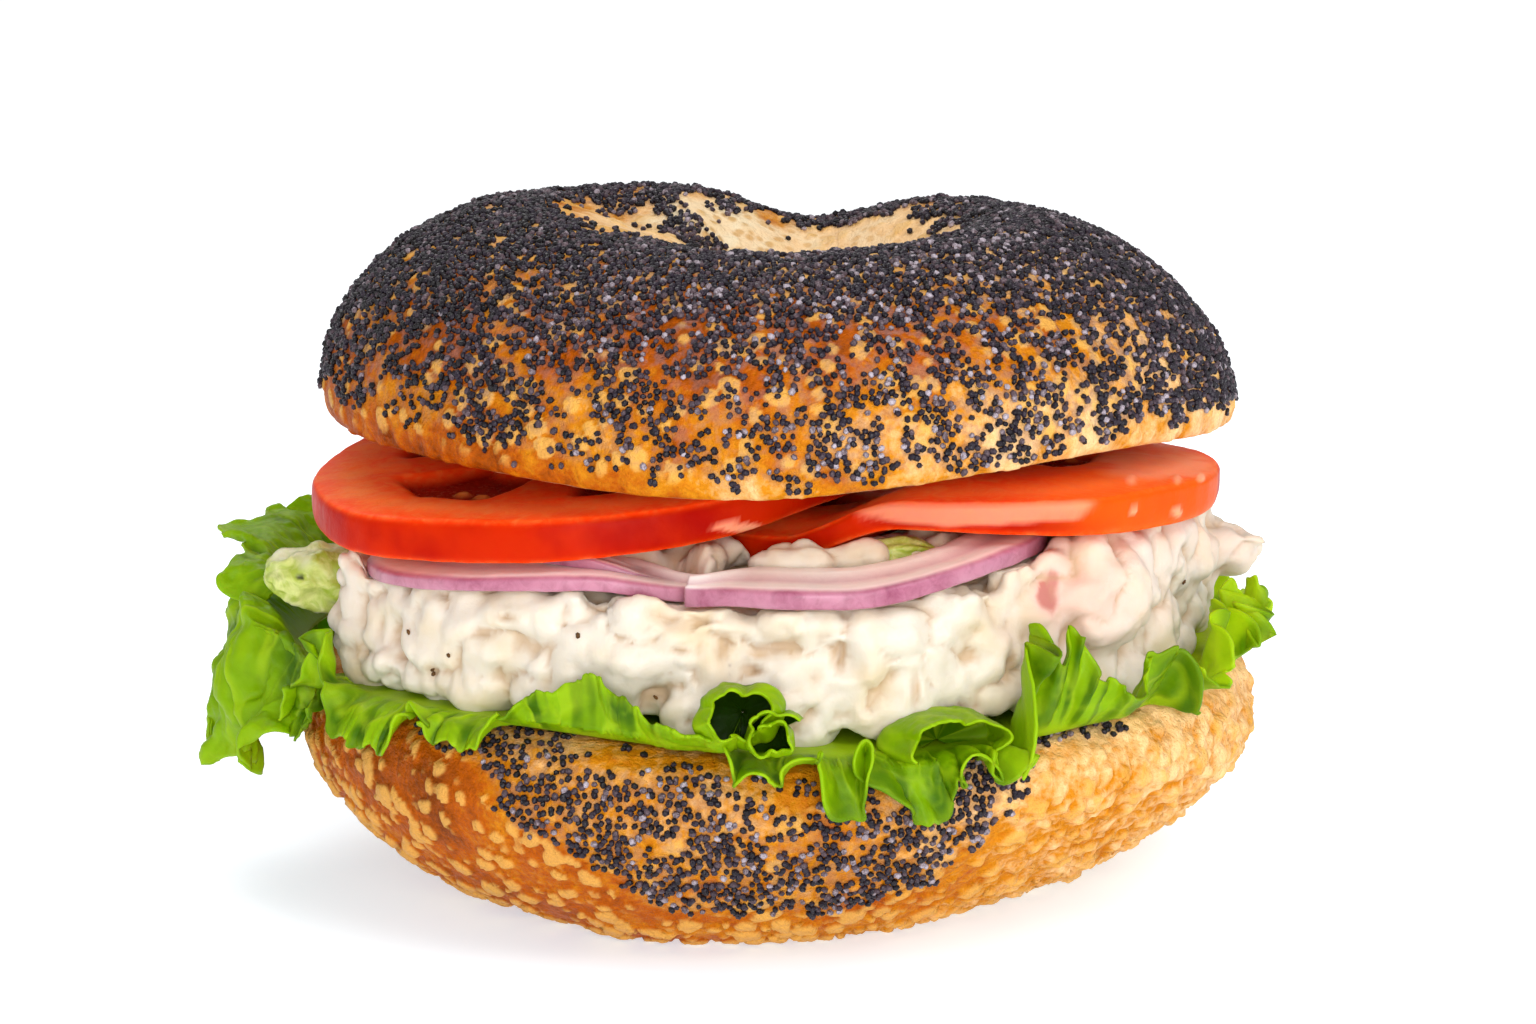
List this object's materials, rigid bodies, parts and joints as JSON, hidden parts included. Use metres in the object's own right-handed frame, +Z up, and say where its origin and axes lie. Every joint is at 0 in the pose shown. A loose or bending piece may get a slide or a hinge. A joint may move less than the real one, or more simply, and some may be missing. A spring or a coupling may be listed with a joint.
{
  "type": "bagel sandwich",
  "caption": "Poppy-seed bagel cut through and filled with frilly lettuce, creamy chicken salad, celery, red onion and tomato slices.",
  "frame": {"origin": "under the middle of the whole sandwich, on the surface that it stands on", "axes": "+Z up through the stack, +X to the right across its widest way as seen from the front, and the front faces -Y"},
  "size_m": [0.1353, 0.1304, 0.0844],
  "materials": {
    "crust": "baked crust, satin",
    "poppy_seed": "matte",
    "crumb": "matte",
    "lettuce": "satin",
    "salad": "creamy, satin",
    "onion": "wet, satin",
    "tomato": "wet, gloss",
    "celery": "satin"
  },
  "bodies": {
    "root": {"bagel_bottom": "crust", "bagel_top": "crust", "celery_front": "celery", "celery_left": "celery", "lettuce_back": "lettuce", "lettuce_front": "lettuce", "lettuce_left_lower": "lettuce", "lettuce_left_upper": "lettuce", "lettuce_right": "lettuce", "onion_back": "onion", "onion_left": "onion", "onion_right": "onion", "salad": "salad", "tomato_back": "tomato", "tomato_left": "tomato", "tomato_right": "tomato"}
  },
  "joints": []
}
